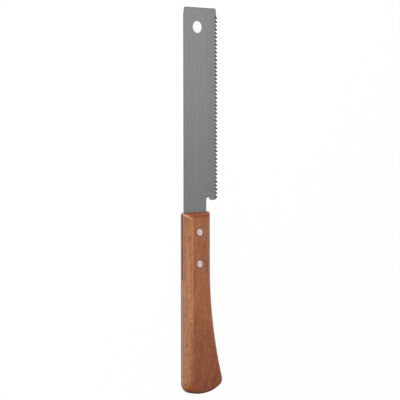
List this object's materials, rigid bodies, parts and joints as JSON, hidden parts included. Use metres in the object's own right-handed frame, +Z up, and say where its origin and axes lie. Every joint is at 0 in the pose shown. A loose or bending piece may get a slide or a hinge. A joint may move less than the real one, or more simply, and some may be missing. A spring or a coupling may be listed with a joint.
{
  "type": "flush cut saw",
  "caption": "Small pull-stroke flush cut saw: a thin toothed steel blade with a hanging hole, riveted into the sawn slot of a chamfered wooden handle with a flared butt.",
  "frame": {"origin": "bottom centre of the bounding box, on the surface that the handle's lower broad face lies on", "axes": "+Y along the saw toward the blade tip, +X across the blade toward the teeth, +Z up, square to the blade"},
  "size_m": [0.0322, 0.2554, 0.0115],
  "materials": {
    "blade_steel": "satin, fine lines along the blade",
    "handle_wood": "oiled, reddish brown, fine lengthwise grain",
    "rivet_metal": "satin"
  },
  "bodies": {
    "root": {"blade": "blade_steel", "handle": "handle_wood", "front_rivet": "rivet_metal", "rear_rivet": "rivet_metal"}
  },
  "joints": []
}
